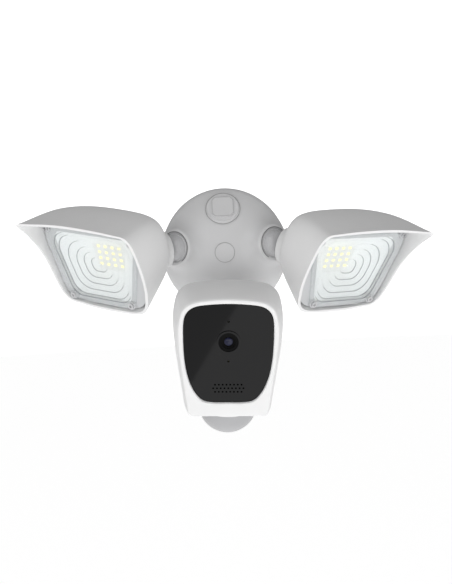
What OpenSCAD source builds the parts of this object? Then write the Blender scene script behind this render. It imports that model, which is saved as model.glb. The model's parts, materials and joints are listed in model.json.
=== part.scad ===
// Wall-mounted floodlight camera: round base, two hooded lamps and a camera head on ball joints.
// Origin: centre of the back face on the wall. +X to the right, -Y out from the wall, +Z up. Millimetres.

/* [Base] */
// Radius of the round base
base_r = 55; // [52:0.5:60]
// Depth of the straight side wall of the base
side_depth = 22; // [18:0.5:26]
// Full depth of the base from the wall to the top of the dome
base_depth = 46; // [40:0.5:52]
// Wall thickness of the base housing
base_wall = 2.5; // [2:0.1:3.5]
// Distance between the centres of the two slots of the crossbar
slot_spacing = 79.5; // [76:0.5:82]
// End-to-end length of each slot
slot_length = 15.5; // [8:0.5:16]
// Radius of the blanking plug over the spare outlet
plug_r = 14.8; // [12:0.1:16]

/* [Ball joints] */
// Radius of the ball
ball_r = 12; // [10:0.1:13]
// Gap between the ball and its seat
ball_gap = 0.06; // [0.02:0.01:0.1]
// Radius of the hollow stem
stem_r = 5.5; // [4.5:0.1:6.5]
// Outer radius of the seat cup
seat_r = 13.4; // [12.8:0.1:14]
// Angle of the lamp sockets away from straight ahead
socket_turn = 35; // [25:1:45]
// Angle of the camera socket below straight ahead
socket_drop = 30; // [20:1:40]

/* [Lamps] */
// Turn of the right lamp outward
right_yaw = 38.4; // [25:0.1:50]
// Turn of the left lamp outward
left_yaw = 38; // [25:0.1:50]
// Drop of the right lamp below level
right_pitch = 24; // [10:0.1:35]
// Drop of the left lamp below level
left_pitch = 22; // [10:0.1:35]
// Roll of the right lamp, outer side up
right_roll = 0.2; // [0:0.1:10]
// Roll of the left lamp, outer side up
left_roll = 5.4; // [0:0.1:10]
// Tilt of all three heads to their left about the line straight out from the wall
head_roll = 2.8; // [0:0.1:5]
// Wall thickness of the lamp hood
hood_wall = 2.8; // [2.4:0.1:3.2]
// Half width of the lens at its upper edge
lens_top = 51; // [46:0.5:52]
// Half width of the lens at its lower edge
lens_low = 38.5; // [34:0.5:40]
// Height of the upper edge of the lens above its centre
lens_up = 33; // [28:0.5:34]
// Depth of the lower edge of the lens below its centre
lens_down = 35.2; // [32:0.5:37]

/* [Camera head] */
// Drop of the camera below level
cam_pitch = 14; // [0:1:30]
// Turn of the camera to the right
cam_yaw = 1; // [-5:0.1:5]
// Depth of the camera body behind its front lip
cam_depth = 54; // [50:1:58]
// Wall thickness of the camera body
cam_wall = 2.8; // [2.4:0.1:3.2]
// Radius of the motion sensor dome
pir_r = 25; // [22:0.5:26]

/* [Hidden] */
$fn = 48;
dome_r = (base_r * base_r + pow(base_depth - side_depth, 2)) / (2 * (base_depth - side_depth));
dome_y = dome_r - base_depth;
lamp_ball = [41, -37, 6.1];
cam_ball = [0, -39.4, -37.5];
hub_ball = [-46.8, -1.7, -59.1];
stem_dir = [0.35, 0.2, 0.915] / norm([0.35, 0.2, 0.915]);
led_at = [-2.6, 1.5];
led_z = -21;
seat_front = 4.65;
seat_step = -2;
seat_back = -8;
flange_r = 14.8;
back_plate_y = -15;
board_y = -19;
cam_back = -58;
pir_z = -27.4;
cam_ball_z = -78.3;
cam_ball_y = 14.2;
flap_y = -22;
flap_z = -60.2;
white = [0.93, 0.93, 0.92];
dark = [0.1, 0.1, 0.11];
metal = [0.72, 0.73, 0.75];
green = [0.1, 0.38, 0.2];

// Smooth curve through b and c, with a and d as neighbours.
function cr(a, b, c, d, t) =
  0.5 * (2 * b + (c - a) * t + (2 * a - 5 * b + 4 * c - d) * t * t
  + (3 * b - a - 3 * c + d) * t * t * t);
function loop_pts(c, k) = let (n = len(c)) [
  for (i = [0 : n - 1]) for (j = [0 : k - 1])
    cr(c[(i + n - 1) % n], c[i], c[(i + 1) % n], c[(i + 2) % n], j / k)
];
function mix(a, b, t) = [for (i = [0 : len(a) - 1]) a[i] * (1 - t) + b[i] * t];
function unit(v) = v / norm(v);
function flat2(c, z) = [for (p = c) [p[0], p[1], z]];
// Inward offset of a grid of rows by t along its surface normal.
function inset_rows(g, t) = let (m = len(g) - 1, n = len(g[0])) [
  for (r = [0 : m]) [
    for (c = [0 : n - 1])
      let (
        along = g[min(r + 1, m)][c] - g[max(r - 1, 0)][c],
        round = g[r][(c + 1) % n] - g[r][(c + n - 1) % n]
      )
      g[r][c] + t * unit(cross(along, round))
  ]
];
function grid_faces(m, n, wrap) = [
  for (r = [0 : m - (wrap ? 1 : 2)]) for (c = [0 : n - 1]) for (k = [0, 1])
    let (
      a = r * n + c,
      b = r * n + (c + 1) % n,
      d = ((r + 1) % m) * n + c,
      e = ((r + 1) % m) * n + (c + 1) % n
    )
    k == 0 ? [a, e, b] : [a, d, e]
];
function flat_list(g) = [for (row = g) for (p = row) p];
function centre(row) = [for (k = [0 : 2]) sum_at(row, k, 0) / len(row)];
function sum_at(row, k, i) = i >= len(row) ? 0 : row[i][k] + sum_at(row, k, i + 1);
// Points of a column of the grid at height z.
function at_z(g, c, z) = [
  for (r = [0 : len(g) - 2])
    let (p = g[r][c], q = g[r + 1][c])
    if ((p[2] - z) * (q[2] - z) <= 0 && p[2] != q[2])
      p + (q - p) * (z - p[2]) / (q[2] - p[2])
];
function last(v) = v[len(v) - 1];

// Ring-shaped solid: the rows close on themselves.
module shell_solid(rows) {
  m = len(rows);
  n = len(rows[0]);
  polyhedron(flat_list(rows), grid_faces(m, n, true), convexity = 8);
}

// Closed solid through the rows, with a fan over each end.
module loft_solid(rows) {
  m = len(rows);
  n = len(rows[0]);
  pts = concat(flat_list(rows), [centre(rows[0]), centre(last(rows))]);
  caps = [
    for (c = [0 : n - 1]) for (k = [0, 1])
      k == 0 ? [c, (c + 1) % n, m * n]
             : [(m - 1) * n + (c + 1) % n, (m - 1) * n + c, m * n + 1]
  ];
  polyhedron(pts, concat(grid_faces(m, n, false), caps), convexity = 8);
}

// Turns a cylinder axis from +Z to the direction v.
module aim(v) {
  rotate([0, acos(v[2] / norm(v)), atan2(v[1], v[0])]) children();
}

// ---- frames of the three moving heads ----

module lamp_place(side) {
  mirror([side < 0 ? 1 : 0, 0, 0])
    translate(lamp_ball)
      rotate([0, side * head_roll, 0])
        rotate([0, 0, side < 0 ? left_yaw : right_yaw])
          rotate([90 + (side < 0 ? left_pitch : right_pitch), 0, 0])
            rotate([0, 0, side < 0 ? left_roll : right_roll])
              translate(-hub_ball)
                children();
}

module cam_place() {
  translate(cam_ball)
    rotate([0, head_roll, 0])
      rotate([0, 0, cam_yaw])
        rotate([90 + cam_pitch, 0, 0])
          translate([0, -cam_ball_y, -cam_ball_z])
            children();
}

// Socket frames: +Z runs out of the base along the socket axis, origin at the ball centre.
module socket_place(which) {
  if (which == "cam") {
    translate(cam_ball) rotate([90 + socket_drop, 0, 0]) children();
  } else {
    mirror([which == "left" ? 1 : 0, 0, 0])
      translate(lamp_ball)
        rotate([0, 0, socket_turn])
          rotate([90, 0, 0])
            children();
  }
}

module stem_place(side) {
  lamp_place(side) translate(hub_ball) aim(stem_dir) children();
}

module cam_stem_place() {
  cam_place() translate([0, cam_ball_y, cam_ball_z]) children();
}

// ---- shared joint pieces ----

module tube(r_out, r_in, z0, z1) {
  difference() {
    translate([0, 0, z0]) cylinder(r = r_out, h = z1 - z0);
    translate([0, 0, z0 - 1]) cylinder(r = r_in, h = z1 - z0 + 2);
  }
}

module seat_cup() {
  difference() {
    union() {
      translate([0, 0, seat_step]) cylinder(r = seat_r, h = seat_front - seat_step);
      translate([0, 0, seat_back]) cylinder(r = flange_r, h = seat_step - seat_back);
    }
    sphere(r = ball_r + ball_gap);
    translate([0, 0, seat_front - 1.2]) cylinder(r1 = 11.4, r2 = 12.7, h = 1.3);
    translate([0, 0, seat_back - 1]) cylinder(r = 8.8, h = 4);
  }
}

module ball_stem(len_out) {
  difference() {
    union() {
      sphere(r = ball_r);
      cylinder(r = stem_r, h = len_out);
      translate([0, 0, ball_r - 1]) cylinder(r = 8, h = 5);
    }
    translate([0, 0, -ball_r - 1]) cylinder(r = 3, h = len_out + ball_r + 2);
    translate([0, 0, -ball_r - 1]) cylinder(r1 = 8, r2 = 3, h = 6);
  }
}

module hex_nut(z0) {
  difference() {
    translate([0, 0, z0]) cylinder(r = 9, h = 4, $fn = 6);
    translate([0, 0, z0 - 1]) cylinder(r = stem_r, h = 6);
  }
}

module pan_screw(r_head, h_head, r_shank, h_shank) {
  difference() {
    union() {
      cylinder(r = r_head, h = h_head);
      translate([0, 0, -h_shank]) cylinder(r = r_shank, h = h_shank);
    }
    for (a = [0, 90])
      rotate(a) translate([-r_head * 0.6, -r_head * 0.12, h_head * 0.45])
        cube([r_head * 1.2, r_head * 0.24, h_head]);
  }
}

// ---- base ----

module boss_out(which) {
  socket_place(which) {
    translate([0, 0, -11]) cylinder(r1 = 19.5, r2 = 17, h = 15);
  }
}

module boss_bore(which) {
  socket_place(which) {
    translate([0, 0, -30]) cylinder(r = flange_r + 0.1, h = 30 + seat_step);
    translate([0, 0, -10]) cylinder(r = seat_r + 0.05, h = 24);
  }
}

module plug_place() {
  translate([0, dome_y, 0]) rotate([90 - 30.5, 0, 0]) translate([0, 0, dome_r]) children();
}

module base_housing() {
  color(white)
  difference() {
    union() {
      difference() {
        intersection() {
          translate([0, -2, 0]) rotate([90, 0, 0]) cylinder(r = base_r, h = base_depth, $fn = 96);
          translate([0, dome_y, 0]) sphere(r = dome_r, $fn = 96);
        }
        intersection() {
          translate([0, -1, 0]) rotate([90, 0, 0]) cylinder(r = base_r - base_wall, h = base_depth);
          translate([0, dome_y, 0]) sphere(r = dome_r - base_wall, $fn = 96);
        }
      }
      for (w = ["left", "right", "cam"]) boss_out(w);
      translate([0, -17, 0]) rotate([90, 0, 0]) cylinder(r = 7, h = 28);
      intersection() {
        for (a = [45, 135, 225, 315])
          rotate([0, a, 0]) translate([47, -17, 0]) rotate([90, 0, 0]) cylinder(r = 4, h = 25);
        translate([0, dome_y, 0]) sphere(r = dome_r - base_wall / 2);
      }
      plug_place() translate([0, 0, -7]) cylinder(r = 12.5, h = 6);
    }
    for (w = ["left", "right", "cam"]) boss_bore(w);
    rotate([90, 0, 0]) cylinder(r = 2.8, h = 60);
    translate([0, -38, 0]) rotate([90, 0, 0]) cylinder(r = 6, h = 20);
    translate([0, dome_y - dome_r + 1.6, 0]) rotate([90, 0, 0]) cylinder(r = 8.3, h = 10);
    plug_place() translate([0, 0, -12]) cylinder(r = 10.3, h = 20);
    for (a = [45, 135, 225, 315])
      rotate([0, a, 0]) translate([47, -16, 0]) rotate([90, 0, 0]) cylinder(r = 1.25, h = 8);
  }
}

module crossbar_bracket() {
  color(metal)
  difference() {
    union() {
      intersection() {
        translate([-50.5, -2, -10.5]) cube([101, 2, 21]);
        rotate([90, 0, 0]) cylinder(r = 50.5, h = 3, $fn = 96);
      }
      translate([0, -8, 0]) rotate([-90, 0, 0]) cylinder(r = 6, h = 7);
    }
    rotate([90, 0, 0]) translate([0, 0, -1]) cylinder(r = 2.5, h = 12);
    for (s = [-1, 1]) translate([s * slot_spacing / 2, 1, 0]) rotate([90, 0, 0]) {
      for (e = [-1, 1])
        translate([e * (slot_length / 2 - 2.3), 0, 0]) cylinder(r = 2.3, h = 4);
      translate([2.3 - slot_length / 2, -2.3, 0]) cube([slot_length - 4.6, 4.6, 4]);
    }
    translate([20, 1, 0]) rotate([90, 0, 0]) cylinder(r = 1.9, h = 4);
  }
}

module ground_screw() {
  color([0.15, 0.5, 0.25])
  translate([20, -2, 0]) rotate([90, 0, 0]) pan_screw(3.6, 2, 1.9, 2);
}

module wall_gasket() {
  color(dark)
  rotate([90, 0, 0]) tube(base_r - 0.5, base_r - 4, 0, 2);
}

module base_back_plate() {
  color([0.85, 0.85, 0.84])
  difference() {
    union() {
      translate([0, back_plate_y, 0]) rotate([90, 0, 0])
        cylinder(r = base_r - base_wall - 0.2, h = 2, $fn = 96);
      for (p = [[26, 26], [-26, 26], [22, -24], [-22, -24]])
        translate([p[0], back_plate_y - 1, p[1]]) rotate([90, 0, 0])
          cylinder(r = 2.2, h = back_plate_y - 1 - board_y);
    }
    rotate([90, 0, 0]) cylinder(r = 2.8, h = 30);
    translate([0, 0, 27]) rotate([90, 0, 0]) cylinder(r = 6, h = 30);
    for (a = [45, 135, 225, 315])
      rotate([0, a, 0]) translate([47, 0, 0]) rotate([90, 0, 0]) cylinder(r = 1.7, h = 30);
  }
}

module cable_grommet() {
  color(dark)
  translate([0, 0, 27]) rotate([90, 0, 0]) difference() {
    union() {
      translate([0, 0, -back_plate_y - 2]) cylinder(r = 8, h = 2);
      translate([0, 0, -back_plate_y]) cylinder(r = 6, h = 2);
    }
    translate([0, 0, 10]) cylinder(r = 3.6, h = 10);
  }
}

module back_plate_screws() {
  color(metal)
  for (a = [45, 135, 225, 315])
    rotate([0, a, 0]) translate([47, back_plate_y, 0]) rotate([-90, 0, 0])
      pan_screw(2.8, 1.6, 1.25, 8);
}

module blanking_plug() {
  color(white)
  plug_place() {
    difference() {
      union() {
        translate([0, 0, -0.6]) cylinder(r1 = plug_r, r2 = plug_r - 1.2, h = 2.1);
        intersection() {
          translate([-9.5, -9.5, 0]) cube([19, 19, 3.2]);
          cylinder(r = 11.4, h = 4);
        }
        translate([0, 0, -9]) cylinder(r = 10.2, h = 10);
      }
      translate([0, 0, -10]) cylinder(r = 7.6, h = 8.5);
    }
  }
}

module center_plug() {
  color(white)
  translate([0, -base_depth + 0.9, 0]) rotate([90, 0, 0]) {
    cylinder(r = 8.25, h = 1.6);
    translate([0, 0, -1.6]) tube(6, 4.8, 0, 1.7);
  }
}

module canopy_screw() {
  color(metal)
  translate([0, -38, 0]) rotate([90, 0, 0]) pan_screw(5, 3.2, 2.4, 36);
}

module socket_retainers() {
  color([0.3, 0.3, 0.32])
  for (w = ["left", "right", "cam"])
    socket_place(w) tube(flange_r, 9.6, seat_back - 2.1, seat_back - 0.1);
}

module driver_board() {
  color(green)
  difference() {
    intersection() {
      translate([-38, board_y - 1.6, -36]) cube([76, 1.6, 72]);
      rotate([90, 0, 0]) cylinder(r = 42, h = 30);
    }
    rotate([90, 0, 0]) cylinder(r = 7.3, h = 40);
    translate([0, 0, 27]) rotate([90, 0, 0]) cylinder(r = 6, h = 40);
    for (w = ["left", "right", "cam"])
      socket_place(w) translate([0, 0, -32]) cylinder(r = 20, h = 30);
  }
}

module transformer() {
  color([0.75, 0.62, 0.2])
  difference() {
    translate([-27, -29, 12.5]) cube([14, 29 + board_y - 1.6, 15]);
    for (x = [-27, -15]) translate([x - 0.01, -30, 18]) cube([2.02, 7, 4]);
  }
}

module capacitors() {
  color([0.15, 0.15, 0.3])
  for (p = [[17, 16], [25.5, 16.5], [18.5, 25]])
    translate([p[0], board_y - 1.6, p[1]]) rotate([90, 0, 0]) cylinder(r = 3.8, h = 8);
}

module terminal_block() {
  color([0.2, 0.45, 0.3])
  difference() {
    translate([-9, board_y - 9.6, 9]) cube([18, 8, 8]);
    for (x = [-6, 0, 6]) translate([x, board_y - 9, 13]) rotate([90, 0, 0]) cylinder(r = 1.8, h = 4);
  }
}

// ---- lamps (lamp frame: X outward, Y up, Z forward out of the lens) ----

rim_pts = [
  [55, 44.5, 26], [40, 46.6, 24.5], [4, 47, 20], [-40, 42, 14], [-56, 35, 10], [-60.5, 7, 6],
  [-57.5, -20, 2], [-47.5, -37.4, 0.3], [-15, -40.8, 0.3], [20, -39.2, 0.6], [41, -32, 1.5],
  [52, 5, 5], [56, 28, 14]
];
back_pts = [
  [43, 36, -29], [32, 40.5, -31], [4, 42, -33], [-38, 39.5, -34], [-55, 31, -32], [-59.5, 8, -30],
  [-52, -14, -31], [-41, -28, -26], [-15, -35.5, -21], [18, -35.5, -17], [37, -28, -15],
  [46, 5, -22], [47, 22, -26]
];
span = 4;
neck_x = unit(cross([0, 1, 0], stem_dir));
neck_y = cross(stem_dir, neck_x);
function neck_ring(r, a) = [
  for (i = [0 : 13 * span - 1])
    let (q = 45 + 360 / 13 * i / span)
    hub_ball + a * stem_dir + r * (cos(q) * neck_x + sin(q) * neck_y)
];
rim_row = loop_pts(rim_pts, span);
back_row = loop_pts(back_pts, span);
mouth_row = neck_ring(16, 13);
neck_row = neck_ring(17.6, 19);
function four(a, b, c, d, t) = [for (i = [0 : len(a) - 1]) cr(a[i], b[i], c[i], d[i], t)];
hood_rows = concat(
  [mouth_row, neck_row],
  [for (t = [0.2, 0.4, 0.6, 0.8, 1]) four(mouth_row, neck_row, back_row, rim_row, t)],
  [for (t = [0.2, 0.4, 0.6, 0.8, 1])
    four(neck_row, back_row, rim_row, mix(back_row, rim_row, 1.5), t)]
);
hood_lift = [0, 1.5, 2.4, 2.8, 2.8, 2.4, 1.5, 0.6, 0, 0, 0, 0];
function hood_inset(t) = [
  for (r = [0 : len(hood_rows) - 1])
    let (m = centre(hood_rows[r]))
    [for (p = hood_rows[r]) p + t * unit(m - p) + [0, 0, hood_lift[r] * t / hood_wall]]
];
hood_inner = hood_inset(hood_wall);
hood_mid = hood_inset(hood_wall * 0.5);
lens_screw_at = [[47, 31.5], [-47.5, 27.5], [30.8, -31], [-35.2, -31.8]];
function reverse(v) = [for (i = [len(v) - 1 : -1 : 0]) v[i]];

lens_x = -2;
// Rounded trapezoid at scale s about the lens centre, with corner radius r, as points.
function trap(s, r) = let (
    a = atan2(lens_top - lens_low, lens_up + lens_down),
    q = [
      [lens_top * s - r, lens_up * s - r, -a, 90],
      [-lens_top * s + r, lens_up * s - r, 90, 180 + a],
      [-lens_low * s + r, -lens_down * s + r, 180 + a, 270],
      [lens_low * s - r, -lens_down * s + r, 270, 360 - a]
    ]
  ) [
    for (c = q) for (k = [0 : 6])
      let (g = c[2] + (c[3] - c[2]) * k / 6) [lens_x + c[0] + r * cos(g), c[1] + r * sin(g)]
  ];

module hood_outline(z, s) {
  polygon([
    for (c = [0 : 13 * span - 1])
      let (p = last(at_z(hood_inner, c, z))) [p[0] * s, p[1] * s]
  ]);
}

clamp_dir = unit([0, 0.9135, -0.407] - stem_dir * ([0, 0.9135, -0.407] * stem_dir));

module lamp_housing(side) {
  color(white)
  lamp_place(side)
  difference() {
    union() {
      shell_solid(concat(hood_rows, reverse(hood_inner)));
      intersection() {
        union() {
          for (p = lens_screw_at)
            translate([p[0], p[1], -60]) cylinder(r = 4, h = 54.9);
          translate(hub_ball) aim(stem_dir) translate([0, 0, 15]) cylinder(r = 17, h = 13);
        }
        loft_solid(hood_mid);
      }
    }
    translate(hub_ball) aim(stem_dir) {
      translate([0, 0, 10]) cylinder(r = 13.5, h = 6);
      translate([0, 0, 10]) cylinder(r = stem_r + 0.05, h = 30);
      translate([0, 0, 28]) cylinder(r = 9.6, h = 6);
    }
    translate(hub_ball + 23 * stem_dir) aim(clamp_dir) {
      translate([0, 0, 13.4]) cylinder(r = 5, h = 20);
      cylinder(r = 2, h = 20);
    }
    for (p = lens_screw_at)
      translate([p[0], p[1], -14]) cylinder(r = 1.3, h = 12);
  }
}

module clamp_screw(side) {
  color(metal)
  lamp_place(side) translate(hub_ball + 23 * stem_dir) aim(clamp_dir)
    translate([0, 0, 13.4]) pan_screw(3.4, 1.8, 1.95, 7.4);
}

module lamp_frame(side) {
  color([0.62, 0.63, 0.65])
  lamp_place(side)
  difference() {
    union() {
      translate([0, 0, -5.1]) linear_extrude(2.5) hood_outline(-5.1, 0.985);
      intersection() {
        for (p = lens_screw_at) translate([p[0], p[1], -5.1]) cylinder(r = 3.7, h = 5.1);
        translate([0, 0, -5.1]) linear_extrude(5.1) hood_outline(-5.1, 0.985);
      }
    }
    translate([0, 0, -6]) linear_extrude(5) polygon(trap(0.88, 9));
    for (p = lens_screw_at)
      translate([p[0], p[1], -8]) cylinder(r = 1.3, h = 12);
  }
}

lens_steps = [0.87, 0.8, 0.66, 0.5, 0.34, 0.18];

module lamp_lens(side) {
  color([0.85, 0.9, 0.95, 0.4])
  lamp_place(side) {
    difference() {
      translate([0, 0, -2.6]) linear_extrude(2.6) polygon(trap(1, 11));
      translate([0, 0, -3]) linear_extrude(4) polygon(trap(0.85, 9.5));
      for (p = lens_screw_at) translate([p[0], p[1], -3]) cylinder(r = 4.1, h = 4);
    }
    for (i = [0 : 5])
      translate([0, 0, -3.6 - 1.1 * i]) difference() {
        linear_extrude(1.6) polygon(trap(lens_steps[i], 10 * lens_steps[i]));
        if (i < 5)
          translate([0, 0, -1]) linear_extrude(4)
            polygon(trap(lens_steps[i + 1] - 0.02, 10 * lens_steps[i + 1]));
      }
  }
}

module lens_screws(side) {
  color(metal)
  lamp_place(side)
    for (p = lens_screw_at) translate([p[0], p[1], 0]) pan_screw(2.7, 1.6, 1.25, 12);
}

module reflector(side) {
  color([0.95, 0.95, 0.95])
  lamp_place(side) difference() {
    shell_solid([
      flat2(trap(0.95, 9), -5.1),
      flat2(trap(0.95, 9), -6.1),
      flat2(trap(0.91, 9), -6.1),
      flat2(trap(0.39, 3), led_z),
      flat2(trap(0.36, 2.6), led_z),
      flat2(trap(0.88, 8.6), -5.1)
    ]);
    for (p = lens_screw_at) translate([p[0], p[1], -8]) cylinder(r = 4.3, h = 6);
  }
}

module led_board(side) {
  color([0.9, 0.92, 0.9])
  lamp_place(side) translate([-20.6, -13, led_z - 1.6]) cube([37.2, 25.6, 1.6]);
}

module led_chips(side) {
  color([1, 0.9, 0.3])
  lamp_place(side)
    for (i = [0 : 3]) for (j = [0 : 3])
      translate([led_at[0] + 7.87 * (i - 1.5) - 1.4, led_at[1] + 5.67 * (j - 1.5) - 1, led_z])
        cube([2.8, 2, 0.7]);
}

module heat_sink(side) {
  color(metal)
  lamp_place(side) {
    translate([-20, -10, led_z - 4]) cube([32, 23, 2.4]);
    for (i = [0 : 5])
      translate([-19.5 + 4.8 * i, -8, led_z - 6.4]) cube([1.3, 20, 2.5]);
  }
}

module lamp_seat(side) {
  color([0.4, 0.4, 0.42])
  socket_place(side > 0 ? "right" : "left") seat_cup();
}

module lamp_stud(side) {
  color([0.8, 0.8, 0.82])
  stem_place(side) {
    ball_stem(33);
    hex_nut(28.1);
  }
}

// ---- camera head (face frame: X right, Y up, Z forward, origin at the lens centre) ----

face_half = [[0, 37], [25, 34], [35, 27.5], [39.5, 18], [41.4, 6], [40.3, -10], [37.6, -32],
  [34.6, -54], [32.4, -63], [26, -66], [12, -66]];
function both_sides(h) = concat(
  reverse([for (i = [1 : len(h) - 1]) [-h[i][0], h[i][1]]]), h, [[0, last(h)[1]]]);
face_row2 = loop_pts(reverse(both_sides(face_half)), 3);
plate_half = [[0, 33.2], [13, 32.7], [25.2, 31.2], [32, 28], [36.2, 21.5], [37.3, 9], [36.6, -12],
  [34.6, -26.6], [31.4, -37.5], [27, -46], [21, -52], [12, -53.8]];
plate_row2 = loop_pts(reverse(concat(
  reverse([for (i = [1 : len(plate_half) - 1]) [-plate_half[i][0], plate_half[i][1]]]),
  plate_half)), 3);
function widen(c, z, wx, up, low) = [
  for (p = c) [p[0] * wx, p[1] > 0 ? p[1] * up : (p[1] < -40 ? p[1] - low * (p[1] + 40) / 26 : p[1]), z]
];
function around(c, s, cy, z) = [for (p = c) [p[0] * s, cy + (p[1] - cy) * s, z]];
function cam_ring(r, z) = let (n = len(face_row2)) [
  for (i = [0 : n - 1])
    let (p = face_row2[i], q = atan2(p[1] + 14, p[0])) [r * cos(q), cam_ball_y + r * sin(q), z]
];
back_row2 = widen(face_row2, -cam_depth, 1.09, 0.99, 0);
body_rows = [
  back_row2,
  widen(face_row2, -44, 1.115, 1.07, 0),
  widen(face_row2, -33, 1.12, 1.12, 0),
  widen(face_row2, -20, 1.105, 1.13, 0),
  widen(face_row2, -9, 1.065, 1.085, 0),
  widen(face_row2, -2.5, 1.022, 1.035, 0),
  widen(face_row2, -0.5, 1.004, 1.006, 0),
  widen(face_row2, 0, 0.985, 0.985, 0.8)
];
cover_out = [
  cam_ring(15, -66),
  cam_ring(15.6, -62),
  cam_ring(16, -59.6),
  cam_ring(17, cam_back),
  around(back_row2, 0.92, -12, cam_back),
  around(back_row2, 0.97, -14, -57.3),
  around(back_row2, 0.99, -16, -56),
  back_row2
];
post_at = [[32, 13], [-32, 13], [26, -50], [-26, -50]];

module cam_body() {
  body_in = inset_rows(body_rows, cam_wall);
  front_in = [for (p = body_in[5]) [p[0], p[1], -3.2]];
  color(white)
  cam_place()
  difference() {
    union() {
      difference() {
        loft_solid(body_rows);
        loft_solid(concat(
          [[for (p = body_in[0]) [p[0], p[1], -cam_depth - 1]]],
          [for (i = [0 : 4]) body_in[i]],
          [front_in]
        ));
        translate([0, 0, -6]) linear_extrude(8) polygon(plate_row2);
        translate([0, 0, -0.9]) linear_extrude(3) scale(1.012) polygon(plate_row2);
      }
      intersection() {
        for (p = post_at) {
          translate([p[0], p[1], -cam_depth]) cylinder(r = 4, h = 40);
          translate([p[0] > 0 ? p[0] : p[0] - 14, p[1] - 1.2, -cam_depth]) cube([14, 2.4, 40]);
        }
        loft_solid(inset_rows(body_rows, cam_wall * 0.5));
      }
    }
    for (p = post_at)
      translate([p[0], p[1], -cam_depth - 1]) cylinder(r = 1.3, h = 14);
    translate([0, -60, pir_z]) rotate([90, 0, 0]) cylinder(r = pir_r + 1.4, h = 20);
    translate([-4, -70, -cam_depth - 1]) cube([8, 10, 4]);
  }
}

module cover_shell() {
  difference() {
    loft_solid(cover_out);
    translate([0, 0, cam_back + cam_wall]) linear_extrude(5)
      polygon([for (p = around(back_row2, 0.93, -16, 0)) [p[0], p[1]]]);
    translate([0, cam_ball_y, -70]) cylinder(r = 12.8, h = 30);
  }
}

module cam_cover() {
  color(white)
  cam_place()
  difference() {
    union() {
      cover_shell();
      translate([0, cam_ball_y, cam_ball_z + 16]) cylinder(r = 14, h = 8);
    }
    translate([0, cam_ball_y, -70]) cylinder(r = stem_r + 0.05, h = 30);
    for (p = post_at)
      translate([p[0], p[1], cam_back - 1]) cylinder(r = 1.6, h = 8);
    translate([-8, flap_y - 8.5, cam_back - 1]) cube([12, 3, 6]);
    translate([8, flap_y - 7, cam_back - 1]) cylinder(r = 1.6, h = 6);
  }
  color(white)
  cam_place() for (x = [-10, 6]) flap_knuckle(x, 4);
}

// Hinge knuckle with its foot on the back cover.
module flap_knuckle(x, w) {
  translate([x, flap_y, flap_z]) difference() {
    union() {
      rotate([0, 90, 0]) cylinder(r = 1.6, h = w);
      translate([0, -1.6, 0]) cube([w, 3.2, 2.3]);
    }
    translate([-1, 0, 0]) rotate([0, 90, 0]) cylinder(r = 0.8, h = w + 2);
  }
}

module flap_pin() {
  color(metal)
  cam_place() translate([-10, flap_y, flap_z]) rotate([0, 90, 0]) cylinder(r = 0.8, h = 20);
}

module service_flap() {
  color([0.55, 0.55, 0.57])
  cam_place() {
    translate([0, flap_y, flap_z]) difference() {
      union() {
        translate([-5.8, 0, 0]) rotate([0, 90, 0]) cylinder(r = 1.6, h = 11.6);
        translate([-5.8, -4, 0.2]) cube([11.6, 4, 1.4]);
        translate([-13, -17, 0.2]) cube([26, 14.8, 1.4]);
        translate([-6, -18, -0.8]) cube([12, 2, 2.4]);
      }
      translate([-7, 0, 0]) rotate([0, 90, 0]) cylinder(r = 0.86, h = 14);
    }
  }
}

module cam_screws() {
  color(metal)
  cam_place() for (p = post_at)
    translate([p[0], p[1], cam_back]) rotate([180, 0, 0]) pan_screw(2.9, 1.7, 1.3, 12);
}

spacer_at = [[22, 22], [-22, 22], [20, -28], [-20, -28]];

module face_plate() {
  color(dark)
  cam_place()
  difference() {
    union() {
      translate([0, 0, -4.4]) linear_extrude(3.5) scale([0.994, 0.994]) polygon(plate_row2);
      for (p = spacer_at) translate([p[0], p[1], -14.4]) cylinder(r = 2.4, h = 10.5);
    }
    translate([0, 0, -6]) cylinder(r = 8.3, h = 8);
    for (y = [17.9, -17]) translate([0, y, -6]) cylinder(r = 0.9, h = 8);
    for (r = [0 : 2]) let (n = r == 1 ? 9 : 8) for (i = [0 : n - 1])
      translate([(i - (n - 1) / 2) * 3.14, -37.8 - 3.2 * r, -6]) cylinder(r = 0.78, h = 8, $fn = 16);
  }
}

module lens_ring() {
  color([0.05, 0.05, 0.06])
  cam_place() tube(9.9, 8.3, -0.9, 0.1);
}

module lens_barrel() {
  color([0.08, 0.08, 0.09])
  cam_place() {
    tube(8.3, 6.5, -14.4, -0.6);
    tube(6.6, 5, -4.4, -3.2);
  }
}

module front_lens() {
  color([0.1, 0.12, 0.2, 0.7])
  cam_place() intersection() {
    translate([0, 0, -3.2]) cylinder(r = 6.5, h = 4);
    translate([0, 0, -11.6]) sphere(r = 11);
  }
}

module image_sensor() {
  color([0.2, 0.25, 0.2])
  cam_place() translate([-4, -3, -14.4]) cube([8, 6, 1.4]);
}

module camera_board() {
  color(green)
  cam_place() {
    difference() {
      translate([-26, -45, -16]) cube([52, 70, 1.6]);
      for (p = spacer_at) translate([p[0], p[1], -17]) cylinder(r = 1.2, h = 4);
    }
    translate([-7, 10, -18]) cube([14, 14, 2]);
  }
}

module speaker() {
  color([0.3, 0.3, 0.32])
  cam_place() translate([0, -41, 0]) {
    tube(12.5, 9, -9, -4.4);
    translate([0, 0, -12]) cylinder(r = 9.5, h = 3.5);
  }
}

module light_sensor() {
  color([0.8, 0.8, 0.7])
  cam_place() translate([0, 17.9, -14.4]) cylinder(r = 2.4, h = 9.6);
}

module microphone() {
  color([0.8, 0.7, 0.3])
  cam_place() translate([0, -17, -14.4]) cylinder(r = 2.4, h = 9.6);
}

module card_reader() {
  color(metal)
  cam_place() difference() {
    translate([-9.5, flap_y - 10, -55.2]) cube([15, 6, 14]);
    translate([-8, flap_y - 8.5, -56]) cube([12, 3, 13]);
  }
}

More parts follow.
